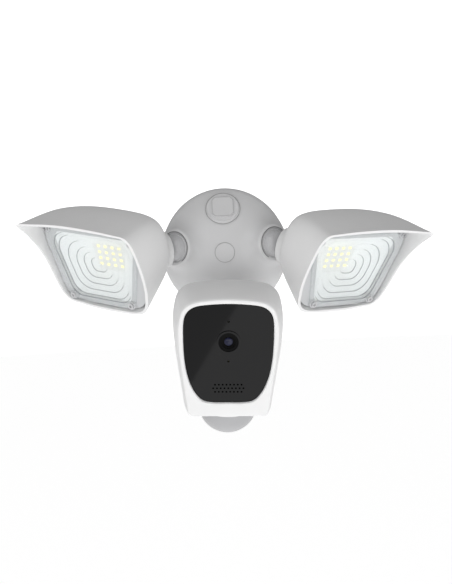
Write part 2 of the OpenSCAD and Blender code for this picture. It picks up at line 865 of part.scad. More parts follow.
module reset_button() {
  color([0.6, 0.1, 0.1])
  cam_place() translate([8, flap_y - 7, 0]) {
    translate([0, 0, -57.6]) cylinder(r = 1.52, h = 5);
    translate([0, 0, -54.6]) cylinder(r = 2.2, h = 2);
  }
}

module pir_ring() {
  color([0.88, 0.88, 0.88])
  cam_place() translate([0, -66, pir_z]) rotate([90, 0, 0]) tube(pir_r + 1.3, pir_r + 0.1, -6, 1.2);
}

module pir_dome() {
  color([0.9, 0.91, 0.92, 0.9])
  cam_place() translate([0, -66, pir_z]) rotate([90, 0, 0]) difference() {
    union() {
      sphere(r = pir_r);
      translate([0, 0, -4]) cylinder(r = pir_r, h = 4);
    }
    sphere(r = pir_r - 1.2);
    translate([0, 0, -30]) cylinder(r = pir_r - 1.2, h = 30);
    translate([0, 0, -40]) cylinder(r = pir_r + 5, h = 36);
  }
}

module pir_board() {
  color(green)
  cam_place() translate([0, -61.9, pir_z]) rotate([-90, 0, 0]) cylinder(r = pir_r - 0.2, h = 1.6);
}

module pir_sensor() {
  color(metal)
  cam_place() translate([0, -61.9, pir_z]) rotate([90, 0, 0]) {
    cylinder(r = 5, h = 0.8);
    cylinder(r = 4.2, h = 4.5);
  }
}

module cam_seat() {
  color([0.4, 0.4, 0.42])
  socket_place("cam") seat_cup();
}

module cam_stud() {
  color([0.8, 0.8, 0.82])
  cam_stem_place() {
    ball_stem(28.5);
    hex_nut(24.1);
  }
}

base_housing();
crossbar_bracket();
ground_screw();
wall_gasket();
base_back_plate();
cable_grommet();
back_plate_screws();
blanking_plug();
center_plug();
canopy_screw();
socket_retainers();
driver_board();
transformer();
capacitors();
terminal_block();
lamp_seat(-1);  // lamp_seat_left
lamp_stud(-1);  // lamp_stud_left
lamp_housing(-1);  // lamp_housing_left
clamp_screw(-1);  // clamp_screw_left
lamp_frame(-1);  // lamp_frame_left
lamp_lens(-1);  // lamp_lens_left
lens_screws(-1);  // lens_screws_left
reflector(-1);  // reflector_left
led_board(-1);  // led_board_left
led_chips(-1);  // led_chips_left
heat_sink(-1);  // heat_sink_left
lamp_seat(1);  // lamp_seat_right
lamp_stud(1);  // lamp_stud_right
lamp_housing(1);  // lamp_housing_right
clamp_screw(1);  // clamp_screw_right
lamp_frame(1);  // lamp_frame_right
lamp_lens(1);  // lamp_lens_right
lens_screws(1);  // lens_screws_right
reflector(1);  // reflector_right
led_board(1);  // led_board_right
led_chips(1);  // led_chips_right
heat_sink(1);  // heat_sink_right
cam_seat();
cam_stud();
cam_body();
cam_cover();
cam_screws();
flap_pin();
service_flap();
face_plate();
lens_ring();
lens_barrel();
front_lens();
image_sensor();
camera_board();
speaker();
light_sensor();
microphone();
card_reader();
reset_button();
pir_ring();
pir_dome();
pir_board();
pir_sensor();
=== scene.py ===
"""Looks of a wall floodlight camera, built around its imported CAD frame. Lengths are in metres."""

import json
import math

import bpy
import numpy as np
from mathutils import Matrix, Vector


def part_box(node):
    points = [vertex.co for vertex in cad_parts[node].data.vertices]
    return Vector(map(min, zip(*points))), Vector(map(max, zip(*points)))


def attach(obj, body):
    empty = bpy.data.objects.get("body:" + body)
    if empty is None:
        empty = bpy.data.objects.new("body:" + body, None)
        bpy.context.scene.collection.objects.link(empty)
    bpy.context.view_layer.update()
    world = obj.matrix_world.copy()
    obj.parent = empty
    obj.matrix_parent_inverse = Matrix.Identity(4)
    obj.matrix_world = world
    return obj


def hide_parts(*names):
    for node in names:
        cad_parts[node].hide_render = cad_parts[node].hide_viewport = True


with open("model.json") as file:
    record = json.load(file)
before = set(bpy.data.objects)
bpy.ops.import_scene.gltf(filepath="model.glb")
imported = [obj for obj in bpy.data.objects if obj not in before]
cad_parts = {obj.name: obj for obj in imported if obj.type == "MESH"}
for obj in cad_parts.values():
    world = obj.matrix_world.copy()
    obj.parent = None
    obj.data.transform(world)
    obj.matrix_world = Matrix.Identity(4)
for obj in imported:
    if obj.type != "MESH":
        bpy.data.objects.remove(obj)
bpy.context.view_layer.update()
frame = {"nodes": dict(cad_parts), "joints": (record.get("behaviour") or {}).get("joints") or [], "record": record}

MM = 0.001
HEAD_ROLL = math.radians(2.8)
# Turn sideways, tip down and roll of each head, in degrees.
LAMP_POSE = {"right": (38.4, 24.0, 0.2), "left": (38.0, 22.0, 5.4)}
CAMERA_POSE = (1.0, 14.0, 0.0)
# Centres of the balls and the direction of a lamp's stem, in the heads' own axes.
HUB_BALL = np.array([-46.8, -1.7, -59.1])
CAMERA_BALL = np.array([0.0, 14.2, -78.3])
STEM = np.array([0.35, 0.2, 0.915]) / np.linalg.norm([0.35, 0.2, 0.915])
NODE_SLOT = {p["node"]: p["material_slot"] for p in frame["record"]["subparts"]}
JOINT = {j["name"]: j for j in frame["joints"]}


# ---- frames of the heads, in millimetres of each head's own axes ----


def head_matrix(joint, side, pose, ball):
    """From a head's own axes (X outward, Y up, Z out of its front) to the row frame.

    The side is 1, or -1 for the mirrored head on the left."""
    yaw, pitch, roll = (math.radians(a) for a in pose)
    turn = (
        Matrix.Rotation(HEAD_ROLL * side, 4, "Y")
        @ Matrix.Rotation(yaw, 4, "Z")
        @ Matrix.Rotation(math.pi / 2 + pitch, 4, "X")
        @ Matrix.Rotation(roll, 4, "Z")
    )
    place = np.array(JOINT[joint]["pos_m"])
    if side < 0:
        place = place * [-1, 1, 1]
    inner = Matrix.Translation(place) @ turn @ Matrix.Scale(MM, 4) @ Matrix.Translation(-ball)
    return Matrix.Diagonal((-1, 1, 1, 1)) @ inner if side < 0 else inner


# ---- curves and grids ----


def spline(a, b, c, d, t):
    """Catmull-Rom curve from b to c."""
    return 0.5 * (
        2 * b + (c - a) * t + (2 * a - 5 * b + 4 * c - d) * t**2 + (3 * b - a - 3 * c + d) * t**3
    )


def closed_curve(points, steps):
    p = np.array(points, float)
    n = len(p)
    return np.array([
        spline(p[i - 1], p[i], p[(i + 1) % n], p[(i + 2) % n], k / steps)
        for i in range(n)
        for k in range(steps)
    ])


def grid_faces(rows, columns, closed_rows=False):
    faces = []
    for r in range(rows if closed_rows else rows - 1):
        for c in range(columns):
            a, b = r * columns + c, r * columns + (c + 1) % columns
            d = ((r + 1) % rows) * columns + c
            e = ((r + 1) % rows) * columns + (c + 1) % columns
            faces.append((a, b, e, d))
    return faces


def new_piece(name, points, faces, matrix, looks, body, nodes, crease=35):
    """A mesh piece that stands for CAD nodes, smooth up to the crease angle in degrees."""
    mesh = bpy.data.meshes.new(name)
    mesh.from_pydata([tuple(p) for p in points], [], faces)
    mesh.transform(matrix)
    if matrix.determinant() < 0:
        mesh.flip_normals()
    mesh.validate()
    mesh.polygons.foreach_set("use_smooth", [True] * len(mesh.polygons))
    mesh.set_sharp_from_angle(angle=math.radians(crease))
    mesh.materials.append(looks)
    piece = bpy.data.objects.new(name, mesh)
    bpy.context.scene.collection.objects.link(piece)
    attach(piece, body)
    if nodes:
        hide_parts(*nodes)
    return piece


def bevel(piece, width, segments=3, angle=40):
    b = piece.modifiers.new("edge", "BEVEL")
    b.width = width * MM
    b.segments = segments
    b.limit_method = "ANGLE"
    b.angle_limit = math.radians(angle)
    b.harden_normals = False


def lathe(profile, columns=96):
    """Points and faces of a closed turned form; the profile is (radius, height) pairs in a ring."""
    turn = np.linspace(0, 2 * math.pi, columns, endpoint=False)
    rows = [np.stack([r * np.cos(turn), r * np.sin(turn), np.full(columns, h)], 1) for r, h in profile]
    return np.concatenate(rows), grid_faces(len(rows), columns, True)


# ---- materials ----


CLOUD_SCALE = 35.0
GLOSS_SPREAD = 0.05
GRAIN_HEIGHT = 0.0005


def plastic(name, colour, rough, grain=0.02, tone=0.03, scale=900.0, specular=0.5):
    """Moulded plastic: faint cloudy tone, fine grain and uneven gloss."""
    m = bpy.data.materials.new(name)
    m.use_nodes = True
    nodes, links = m.node_tree.nodes, m.node_tree.links
    shader = nodes["Principled BSDF"]
    shader.inputs["Specular IOR Level"].default_value = specular
    place = nodes.new("ShaderNodeTexCoord")
    cloud = nodes.new("ShaderNodeTexNoise")
    cloud.inputs["Scale"].default_value = CLOUD_SCALE
    cloud.inputs["Detail"].default_value = 4.0
    ramp = nodes.new("ShaderNodeValToRGB")
    ramp.color_ramp.elements[0].color = (*[c * (1 - tone) for c in colour], 1)
    ramp.color_ramp.elements[1].color = (*[min(1, c * (1 + tone)) for c in colour], 1)
    fine = nodes.new("ShaderNodeTexNoise")
    fine.inputs["Scale"].default_value = scale
    fine.inputs["Detail"].default_value = 3.0
    gloss = nodes.new("ShaderNodeMapRange")
    gloss.inputs["To Min"].default_value = max(0.0, rough - GLOSS_SPREAD)
    gloss.inputs["To Max"].default_value = min(1.0, rough + GLOSS_SPREAD)
    bump = nodes.new("ShaderNodeBump")
    bump.inputs["Strength"].default_value = grain
    bump.inputs["Distance"].default_value = GRAIN_HEIGHT
    for noise in (cloud, fine):
        links.new(place.outputs["Object"], noise.inputs["Vector"])
    links.new(cloud.outputs["Fac"], ramp.inputs["Fac"])
    links.new(ramp.outputs["Color"], shader.inputs["Base Color"])
    links.new(fine.outputs["Fac"], gloss.inputs["Value"])
    links.new(gloss.outputs["Result"], shader.inputs["Roughness"])
    links.new(fine.outputs["Fac"], bump.inputs["Height"])
    links.new(bump.outputs["Normal"], shader.inputs["Normal"])
    return m


def metal(name, colour, rough):
    """Metal with a fine grain."""
    m = plastic(name, colour, rough, grain=0.06, tone=0.06, scale=1500.0)
    m.node_tree.nodes["Principled BSDF"].inputs["Metallic"].default_value = 1.0
    return m


def clear(name, colour, rough, weight, ior):
    """Plastic that passes light, by weight, and bends it by its ior."""
    m = plastic(name, colour, rough, grain=0.0, tone=0.01)
    shader = m.node_tree.nodes["Principled BSDF"]
    shader.inputs["Transmission Weight"].default_value = weight
    shader.inputs["IOR"].default_value = ior
    return m


def glowing(name, colour, strength):
    """Plastic that also gives light of its own colour: an even glow for the backdrop and floor, and painted light
    on the reflector, LED board and unlit LED chips.
    """
    m = plastic(name, colour, 0.4, tone=0.06)
    shader = m.node_tree.nodes["Principled BSDF"]
    shader.inputs["Emission Color"].default_value = (*colour, 1)
    shader.inputs["Emission Strength"].default_value = strength
    return m


# By material slot.
LOOKS = {
    "white_plastic": plastic("white_plastic", (0.86, 0.86, 0.86), 0.42, grain=0.03),
    "grey_plastic": plastic("grey_plastic", (0.36, 0.37, 0.38), 0.5),
    "grey_nylon": plastic("grey_nylon", (0.5, 0.5, 0.51), 0.4),
    "ball_white": plastic("ball_white", (0.56, 0.56, 0.57), 0.28),
    "zinc_steel": metal("zinc_steel", (0.62, 0.62, 0.63), 0.35),
    "green_screw": plastic("green_screw", (0.05, 0.3, 0.1), 0.4),
    "black_rubber": plastic("black_rubber", (0.02, 0.02, 0.02), 0.8, grain=0.1),
    "green_board": plastic("green_board", (0.02, 0.12, 0.05), 0.4),
    "copper_winding": plastic("copper_winding", (0.4, 0.22, 0.05), 0.4, grain=0.2),
    "can_blue": plastic("can_blue", (0.02, 0.03, 0.15), 0.35),
    "green_block": plastic("green_block", (0.03, 0.18, 0.08), 0.5),
    "clear_lens": clear("clear_lens", (0.97, 0.985, 0.99), 0.03, 0.78, 1.06),
    # Painted light: the reflector and the LED board glow faintly to brighten them in the shade inside the hood.
    "reflector_white": glowing("reflector_white", (0.92, 0.94, 0.94), 0.2),
    "led_board_white": glowing("led_board_white", (0.88, 0.89, 0.87), 0.16),
    # Painted light: the LED chips are not lit, yet glow yellow to look bright.
    "led_yellow": glowing("led_yellow", (1.0, 0.86, 0.36), 0.75),
    "heat_aluminium": metal("heat_aluminium", (0.7, 0.7, 0.71), 0.4),
    "black_gloss": plastic("black_gloss", (0.002, 0.002, 0.0024), 0.03, grain=0.0, specular=0.2),
    "black_satin": plastic("black_satin", (0.002, 0.002, 0.002), 0.5, specular=0.08),
    "lens_glass": plastic("lens_glass", (0.004, 0.006, 0.03), 0.06, grain=0.0, specular=0.3),
    "sensor_green": plastic("sensor_green", (0.03, 0.05, 0.12), 0.2),
    "speaker_black": plastic("speaker_black", (0.01, 0.01, 0.01), 0.7),
    "sensor_clear": plastic("sensor_clear", (0.3, 0.3, 0.25), 0.2),
    "mic_metal": metal("mic_metal", (0.5, 0.46, 0.3), 0.35),
    "button_red": plastic("button_red", (0.35, 0.02, 0.02), 0.4),
    # Painted shade: the milky white PIR dome is given a grey colour for the shade it sits in.
    "pir_milky": plastic("pir_milky", (0.42, 0.42, 0.43), 0.35, grain=0.25, scale=420.0),
}

BASE_LOOKS = plastic("base_plastic", (0.7, 0.7, 0.705), 0.45, grain=0.03)
FRAME_LOOKS = plastic("frame_plastic", (0.62, 0.63, 0.64), 0.4)
# Nodes that look unlike the rest of their slot.
OWN_LOOKS = {
    "blanking_plug": BASE_LOOKS,
    "center_plug": BASE_LOOKS,
    "base_housing": BASE_LOOKS,
    "lamp_frame_left": FRAME_LOOKS,
    "lamp_frame_right": FRAME_LOOKS,
}

for node, cad in frame["nodes"].items():
    cad.data.materials.clear()
    cad.data.materials.append(OWN_LOOKS.get(node, LOOKS[NODE_SLOT[node]]))


# ---- lamp hoods ----

# Knots of the two loops that shape a hood: the brim in front and the edge of its back.
RIM = [
    [55, 44.5, 26], [40, 46.6, 24.5], [4, 47, 20], [-40, 42, 14], [-56, 35, 10], [-60.5, 7, 6],
    [-57.5, -20, 2], [-47.5, -37.4, 0.3], [-15, -40.8, 0.3], [20, -39.2, 0.6], [41, -32, 1.5],
    [52, 5, 5], [56, 28, 14],
]
BACK = [
    [43, 36, -29], [32, 40.5, -31], [4, 42, -33], [-38, 39.5, -34], [-55, 31, -32], [-59.5, 8, -30],
    [-52, -14, -31], [-41, -28, -26], [-15, -35.5, -21], [18, -35.5, -17], [37, -28, -15],
    [46, 5, -22], [47, 22, -26],
]
HOOD_STEPS = 12
HOOD_WALL = 2.8
# Rows of the hood, and how far the inner skin is lifted there.
HOOD_LIFT = ([0, 4, 16, 30, 37, 44, 54], [0, 1.5, 2.8, 2.4, 0.6, 0, 0])
NECK_FIRST_ANGLE = 45
MOUTH_RADIUS, MOUTH_ALONG = 16, 13
NECK_RADIUS, NECK_ALONG = 17.6, 19
SCOOP_ALONG = 24.5
SCOOP_RADIUS, SCOOP_EDGE, SCOOP_FLOOR = 6.2, 1.3, 14.2


def neck_ring(radius, along):
    """A ring round the stem, with as many points as the loops of the hood."""
    x = np.cross([0, 1, 0], STEM)
    x /= np.linalg.norm(x)
    y = np.cross(STEM, x)
    count = len(RIM) * HOOD_STEPS
    turn = np.radians(NECK_FIRST_ANGLE + 360 * np.arange(count) / count)[:, None]
    return HUB_BALL + along * STEM + radius * (np.cos(turn) * x + np.sin(turn) * y)


def scooped(points):
    """Presses the screw recess into the top of the neck."""
    up = np.array([0, 0.9135, -0.407])
    across = up - STEM * (up @ STEM)
    across /= np.linalg.norm(across)
    seat = HUB_BALL + SCOOP_ALONG * STEM
    out = (points - seat) @ across
    side = np.linalg.norm((points - seat) - np.outer(out, across), axis=1)
    depth = np.clip((SCOOP_RADIUS - side) / SCOOP_EDGE, 0, 1)
    depth = depth * depth * (3 - 2 * depth)
    drop = np.where(out > 5, (np.minimum(out, SCOOP_FLOOR) - out) * depth, 0)
    return points + drop[:, None] * across


def hood_rows():
    """Rings of the outer skin, from the mouth of the neck to the brim."""
    rim, back = closed_curve(RIM, HOOD_STEPS), closed_curve(BACK, HOOD_STEPS)
    mouth, neck = neck_ring(MOUTH_RADIUS, MOUTH_ALONG), neck_ring(NECK_RADIUS, NECK_ALONG)
    rows = [mouth * (1 - t) + neck * t for t in (0, 0.25, 0.5, 0.75)]
    rows += [spline(mouth, neck, back, rim, t) for t in np.linspace(0, 1, 34)]
    beyond = back * -0.5 + rim * 1.5
    rows += [spline(neck, back, rim, beyond, t) for t in np.linspace(0, 1, 18)[1:]]
    return rows


def hood(side_name):
    """The outer skin and an inner one, which is lifted toward the front over the back wall."""
    rows = hood_rows()
    lift = np.interp(np.arange(len(rows)), *HOOD_LIFT)
    inner = []
    for row, up in zip(rows, lift):
        centre = row.mean(0)
        inward = (centre - row) / np.linalg.norm(centre - row, axis=1)[:, None]
        inner.append(row + HOOD_WALL * inward + [0, 0, up])
    ring = [scooped(r) for r in rows] + inner[::-1]
    points = np.concatenate(ring)
    faces = grid_faces(len(ring), len(rows[0]), True)
    piece = new_piece("hood_" + side_name, points, faces, lamp_matrix(side_name),
                      LOOKS["white_plastic"], "lamp_" + side_name,
                      ["lamp_housing_" + side_name], crease=50)
    bevel(piece, 0.7, 3, 45)


def lamp_matrix(side_name):
    sign = 1 if side_name == "right" else -1
    return head_matrix("lamp_spin_" + side_name, sign, LAMP_POSE[side_name], HUB_BALL)


def aimed(origin, direction):
    """Axes with +Z along direction, in millimetres of the head."""
    z = direction / np.linalg.norm(direction)
    x = np.cross([0, 1, 0], z)
    x /= np.linalg.norm(x)
    y = np.cross(z, x)
    return Matrix([[x[i], y[i], z[i], origin[i]] for i in range(3)] + [[0, 0, 0, 1]])


def neck_collar(side_name):
    """The closed face inside the mouth of the hood, round the stem."""
    points, faces = lathe([(5.6, 14.6), (14.6, 14.6), (15.4, 15.2), (15.4, 20), (5.6, 20)])
    matrix = lamp_matrix(side_name) @ aimed(HUB_BALL, STEM)
    piece = new_piece("neck_collar_" + side_name, points, faces, matrix, LOOKS["white_plastic"],
                      "lamp_" + side_name, [])
    bevel(piece, 0.4, 2)


# ---- stepped lens ----

LENS_X = -2.0
# Half widths at the top and the bottom edge before rounding, and the distances to those edges.
LENS_TOP, LENS_LOW, LENS_UP, LENS_DOWN = 54.37, 35.92, 33.0, 35.2
CORNER_STEPS = 14
LENS_RIM = [(1.0, -2.4), (1.0, -0.3), (0.994, -0.06), (0.93, -0.06)]
LENS_MIDDLE = (0.03, -6.2)


def trapezoid(scale, radius):
    """A rounded trapezoid whose corner arcs meet its four sides without a kink."""
    slope = (LENS_TOP - LENS_LOW) / (LENS_UP + LENS_DOWN)
    lean, stretch = math.degrees(math.atan(slope)), math.hypot(1, slope)
    top = LENS_TOP * scale - radius * (stretch + slope)
    low = LENS_LOW * scale - radius * (stretch - slope)
    up, down = LENS_UP * scale - radius, LENS_DOWN * scale - radius
    corners = [(top, up, -lean, 90), (-top, up, 90, 180 + lean),
               (-low, -down, 180 + lean, 270), (low, -down, 270, 360 - lean)]
    out = []
    for x, y, a, b in corners:
        turn = np.radians(np.linspace(a, b, CORNER_STEPS))
        out.append(np.stack([LENS_X + x + radius * np.cos(turn), y + radius * np.sin(turn)], 1))
    return np.concatenate(out)


# Scale and height of each loop of the lens, with the two ends of each riser side by side.
LENS_STEPS = [(0.87, -0.5, -1.2), (0.8, -1.3, -1.9), (0.66, -2.3, -2.9), (0.5, -3.3, -3.9),
              (0.34, -4.3, -4.9), (0.18, -5.4, -6.0)]
LENS_SHEET = 1.4
RISER_WIDTH = 0.01


def corner_radius(scale):
    """Rounder toward the middle, but never more than a loop of this scale can hold."""
    return min(11 + 16 * (1 - scale), 28 * scale)


def lens_loop(scale, z):
    loop = trapezoid(scale, corner_radius(scale))
    return np.column_stack([loop, np.full(len(loop), z)])


def stepped_lens(side_name):
    """A clear sheet that goes down in steps to its middle; its risers get painted shade, a greyer, less clear
    look.
    """
    profile = list(LENS_RIM)
    risers = []
    for scale, high, low in LENS_STEPS:
        profile += [(scale + RISER_WIDTH, high), (scale, low)]
        risers.append(len(profile) - 2)
    profile.append(LENS_MIDDLE)
    rows = [lens_loop(s, z) for s, z in profile]
    rows += [lens_loop(s, z - LENS_SHEET) for s, z in profile[:2:-1]]
    count = 4 * CORNER_STEPS
    piece = new_piece("stepped_lens_" + side_name, np.concatenate(rows),
                      grid_faces(len(rows), count, True), lamp_matrix(side_name),
                      LOOKS["clear_lens"], "lamp_" + side_name, ["lamp_lens_" + side_name], crease=28)
    piece.data.materials.append(LENS_RISER_SHADE)
    for r in risers:
        for face in piece.data.polygons[r * count:(r + 1) * count]:
            face.material_index = 1


# Painted shade: grey on the risers stands for the light the steps bend away.
LENS_RISER_SHADE = clear("lens_riser_shade", (0.4, 0.42, 0.43), 0.25, 0.35, 1.2)

for side in ("left", "right"):
    hood(side)
    neck_collar(side)
    stepped_lens(side)


# ---- base ----

BASE_RADIUS, SIDE_DEPTH, BASE_DEPTH, BASE_WALL = 55.0, 22.0, 46.0, 2.5
DOME_RADIUS = (BASE_RADIUS**2 + (BASE_DEPTH - SIDE_DEPTH) ** 2) / (2 * (BASE_DEPTH - SIDE_DEPTH))
DOME_Y = DOME_RADIUS - BASE_DEPTH
# The skin is found along rays from this point.
CORE = np.array([0, -12.0, 0])
SKIN_COLUMNS, SKIN_ROWS = 288, 150
RAY_NEAR, RAY_FAR, RAY_HALVINGS = 20.0, 75.0, 24
BOSS_BLEND = 9.0
EDGE_BLEND = 3.0
# Radii of a socket boss below and at its rim, and the height of the rim past the ball's centre.
LAMP_BOSS, CAM_BOSS = ((18.5, 16.2), 4.0), ((17.5, 15.0), 3.4)


def smooth_max(a, b, k):
    """The larger of two fields, rounded where they are within k of each other."""
    h = np.clip(0.5 + 0.5 * (a - b) / k, 0, 1)
    return b * (1 - h) + a * h + k * h * (1 - h)


def smooth_min(a, b, k):
    return -smooth_max(-a, -b, k)


def socket_axis(joint):
    """The axis of a socket, out of the base."""
    axis = np.array(JOINT[joint]["axis"])
    return axis if axis[1] < 0 else -axis


def base_field(p):
    """Below 0 inside the base: a domed drum with three blended socket bosses."""
    side = np.hypot(p[:, 0], p[:, 2]) - BASE_RADIUS
    dome = np.linalg.norm(p - [0, DOME_Y, 0], axis=1) - DOME_RADIUS
    body = smooth_max(side, dome, EDGE_BLEND)
    for joint in ("lamp_swivel_left", "lamp_swivel_right", "cam_swivel"):
        ball = np.array(JOINT[joint]["pos_m"]) / MM
        axis = socket_axis(joint)
        q = p - ball
        along = q @ axis
        away = np.linalg.norm(q - np.outer(along, axis), axis=1)
        wide, tall = CAM_BOSS if joint == "cam_swivel" else LAMP_BOSS
        cone = away - np.interp(along, [-11, 4], wide)
        boss = smooth_max(cone, along - tall, 1.2)
        body = smooth_min(body, boss, BOSS_BLEND)
    return body


def base_cover():
    """The skin of the base, its rim against the wall and its inside, in one closed mesh."""
    turn = np.linspace(0, 2 * math.pi, SKIN_COLUMNS, endpoint=False)
    last_tilt = math.pi / 2 + math.atan2(-CORE[1] - 0.3, BASE_RADIUS)
    tilt = np.linspace(0.004, last_tilt, SKIN_ROWS)
    t, a = np.meshgrid(tilt, turn, indexing="ij")
    ray = np.stack([np.sin(t) * np.cos(a), -np.cos(t), np.sin(t) * np.sin(a)], -1).reshape(-1, 3)
    near, far = np.full(len(ray), RAY_NEAR), np.full(len(ray), RAY_FAR)
    for _ in range(RAY_HALVINGS):
        mid = (near + far) / 2
        inside = base_field(CORE + mid[:, None] * ray) < 0
        near, far = np.where(inside, mid, near), np.where(inside, far, mid)
    skin = CORE + near[:, None] * ray
    skin[:, 1] = np.minimum(skin[:, 1], 0)
    rings = list(skin.reshape(SKIN_ROWS, SKIN_COLUMNS, 3))
    rim_in = BASE_RADIUS - BASE_WALL
    for radius, y in ((BASE_RADIUS - 0.4, 0), (rim_in + 0.3, 0), (rim_in, -0.4), (rim_in, -14.9)):
        level = np.full(SKIN_COLUMNS, y)
        rings.append(np.stack([radius * np.cos(turn), level, radius * np.sin(turn)], 1))
    points = np.concatenate(rings + [np.array([rings[0].mean(0)])])
    faces = [f[::-1] for f in grid_faces(len(rings), SKIN_COLUMNS)]
    top = len(points) - 1
    faces += [(top, c, (c + 1) % SKIN_COLUMNS)[::-1] for c in range(SKIN_COLUMNS)]
    new_piece("base_cover", points, faces, Matrix.Scale(MM, 4), BASE_LOOKS,
              "base", ["base_housing"], crease=60)


base_cover()


# ---- seams: thin dark lines of painted shade where parts of the base meet ----

SEAM_DEPTH = 0.4
PLUG_TURN = math.radians(59.5)
PLUG_PLACE = (
    Matrix.Scale(MM, 4)
    @ Matrix.Translation((0, DOME_Y, 0))
    @ Matrix.Rotation(PLUG_TURN, 4, "X")
    @ Matrix.Translation((0, 0, DOME_RADIUS))
)
CENTER_PLACE = Matrix.Scale(MM, 4) @ Matrix.Rotation(math.pi / 2, 4, "X")


def seam(name, loop, height, width, matrix, looks):
    """A flat dark line just outside a loop: painted shade in the gap round a fitted part."""
    wide = loop + width * loop / np.linalg.norm(loop, axis=1)[:, None]
    low = height - SEAM_DEPTH
    rows = [np.column_stack([p, np.full(len(p), z)])
            for p, z in ((loop, height), (wide, height), (wide, low), (loop, low))]
    piece = new_piece(name, np.concatenate(rows), grid_faces(4, len(loop), True), matrix, looks,
                      "base", [])


def circle(radius, steps=120):
    turn = np.linspace(0, 2 * math.pi, steps, endpoint=False)
    return radius * np.stack([np.cos(turn), np.sin(turn)], 1)


def square_plate(half, radius):
    """A circle cut flat on four sides."""
    return np.clip(circle(radius, 240), -half, half)


def socket_matrix(joint):
    """Millimetres at a socket: origin in the ball's centre, +Z out of the base."""
    turn = aimed(np.zeros(3), socket_axis(joint))
    return Matrix.Translation(JOINT[joint]["pos_m"]) @ Matrix.Scale(MM, 4) @ turn


# Painted shade: dark strips that stand for the shadow in the gaps round the plugs and sockets.
GAP_SHADE_LOOKS = plastic("gap_shadow", (0.13, 0.13, 0.13), 0.8)
LINE_SHADE_LOOKS = plastic("line_shadow", (0.4, 0.4, 0.4), 0.8)
seam("center_plug_gap", circle(8.3), BASE_DEPTH - 0.3, 0.4, CENTER_PLACE, LINE_SHADE_LOOKS)
seam("blanking_plug_gap", circle(14.8), -0.5, 0.45, PLUG_PLACE, LINE_SHADE_LOOKS)
seam("blanking_plug_edge", square_plate(9.0, 10.9), 3.23, 0.35, PLUG_PLACE, LINE_SHADE_LOOKS)
for side in ("left", "right"):
    seam("socket_gap_" + side, circle(13.45), 4.06, 0.6, socket_matrix("lamp_swivel_" + side),
         GAP_SHADE_LOOKS)


# ---- camera head ----

# Right halves of the outline of the face and of the glossy plate, from the top down.
FACE_HALF = [[0, 37], [26, 34.7], [36.8, 28.6], [40.5, 18], [41.4, 6], [40.3, -10], [37.6, -32],
             [34.6, -54], [33.5, -62.6], [31.2, -65.7], [26, -66],
             [12, -66], [0, -66]]
PLATE_HALF = [[0, 33.2], [13, 32.7], [25.2, 31.2], [32, 28], [36.2, 21.5], [37.3, 9], [36.6, -12],
              [34.6, -26.6], [31.4, -37.5], [27, -46], [21, -52], [12, -53.8], [0, -53.8]]
# Depth behind the face, and how much wider and taller than the face the body is there.
BODY_ROWS = [(-54, 1.09, 0.99), (-44, 1.115, 1.07), (-33, 1.12, 1.12), (-20, 1.105, 1.13),
             (-9, 1.065, 1.085), (-2.5, 1.022, 1.035)]
HEAD_COLUMNS = 240
HEAD_MIDDLE = np.array([0, -12.0])


def mirrored(half):
    """The whole outline, from its right half."""
    left = [[-x, y] for x, y in half[1:-1]][::-1]
    return np.array(half + left, float)


def even_turn(loop):
    """The loop sampled at even angles round the middle of the head."""
    fine = closed_curve(loop, 40)
    angle = np.arctan2(fine[:, 1] - HEAD_MIDDLE[1], fine[:, 0])
    order = np.argsort(angle)
    turn = np.linspace(-math.pi, math.pi, HEAD_COLUMNS, endpoint=False)
    radius = np.linalg.norm(fine - HEAD_MIDDLE, axis=1)
    r = np.interp(turn, angle[order], radius[order], period=2 * math.pi)
    return HEAD_MIDDLE + r[:, None] * np.stack([np.cos(turn), np.sin(turn)], 1)


def widened(loop, z, wide, up, low=0.0):
    """A ring of the body: the outline made wider, taller at the top and shorter at the chin."""
    x, y = loop[:, 0] * wide, loop[:, 1]
    tall = np.where(y > 0, y * up, np.where(y < -40, y - low * (y + 40) / 26, y))
    return np.stack([x, tall, np.full(len(loop), z)], 1)


def eased(at, places, values):
    """A smooth curve through the values, read at one place."""
    i = min(max(int(np.searchsorted(places, at)) - 1, 0), len(places) - 2)
    t = (at - places[i]) / (places[i + 1] - places[i])
    before = values[i - 1] if i else 2 * values[0] - values[1]
    after = values[i + 2] if i + 2 < len(values) else 2 * values[-1] - values[-2]
    return spline(before, values[i], values[i + 1], after, t)


def camera_matrix():
    return head_matrix("cam_spin", 1, CAMERA_POSE, CAMERA_BALL)


def camera_body():
    """The shell from its back edge over the rounded front to the seat of the plate."""
    face, plate = even_turn(mirrored(FACE_HALF)), even_turn(mirrored(PLATE_HALF))
    depth, wide, up = zip(*BODY_ROWS)
    rows = [widened(face * [0.94, 0.96], -53.9, 1.09, 0.99)]
    for z in np.linspace(depth[0], depth[-1], 24):
        rows.append(widened(face, z, eased(z, depth, wide), eased(z, depth, up)))
    rows += [widened(face, -0.9, 1.008, 1.014), widened(face, -0.3, 0.999, 1.0),
             widened(face, -0.05, 0.99, 0.99, 0.3), widened(face, 0, 0.98, 0.98, 0.8)]
    for scale, z in ((1.03, 0), (1.014, -0.1), (1.01, -0.3), (1.008, -1.0), (1.002, -1.1), (1.0, -4.2)):
        rows.append(np.column_stack([plate * scale, np.full(len(plate), z)]))
    points = np.concatenate(rows)
    new_piece("camera_body", points, grid_faces(len(rows), HEAD_COLUMNS), camera_matrix(),
              LOOKS["white_plastic"], "camera", ["cam_body"], crease=50)


camera_body()


GLASS_COLUMNS = 72
GLASS_RINGS = range(6, 9)


